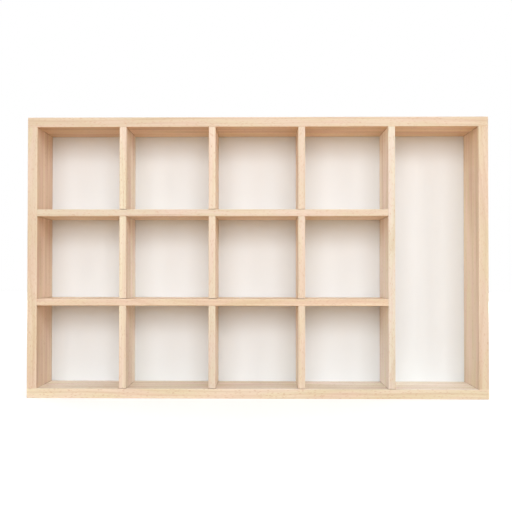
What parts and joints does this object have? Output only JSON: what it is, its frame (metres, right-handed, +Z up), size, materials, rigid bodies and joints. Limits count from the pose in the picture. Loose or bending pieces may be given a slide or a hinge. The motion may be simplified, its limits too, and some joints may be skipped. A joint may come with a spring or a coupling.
{
  "type": "letterpress type case",
  "caption": "Open-front beech compartment case with square cells in rows, one full-height bay and a thin white back, for standing or hanging.",
  "frame": {"origin": "bottom centre of the whole case, on the surface that it stands on", "axes": "+Z up, +X to the right of someone who faces the open front, +Y from the open front to the back"},
  "size_m": [0.401, 0.06, 0.245],
  "materials": {
    "beech": "bare planed and sanded beech, satin",
    "white_panel": "thin fibreboard, matt white on the front, raw brown behind",
    "dowel_wood": "plain turned beech dowel",
    "pin_steel": "bright steel pins with flat heads",
    "zinc_plate": "bright zinc-plated sheet steel",
    "screw_steel": "zinc-plated countersunk screws with a plain cross recess"
  },
  "bodies": {
    "root": {"top_rail": "beech", "bottom_rail": "beech", "left_side": "beech", "right_side": "beech", "divider_1": "beech", "divider_2": "beech", "divider_3": "beech", "bay_divider": "beech", "shelf_1": "beech", "shelf_2": "beech", "back_panel": "white_panel", "corner_dowels": "dowel_wood", "panel_pins": "pin_steel", "hanger_plate_left": "zinc_plate", "hanger_plate_right": "zinc_plate", "hanger_screws": "screw_steel"}
  },
  "joints": []
}
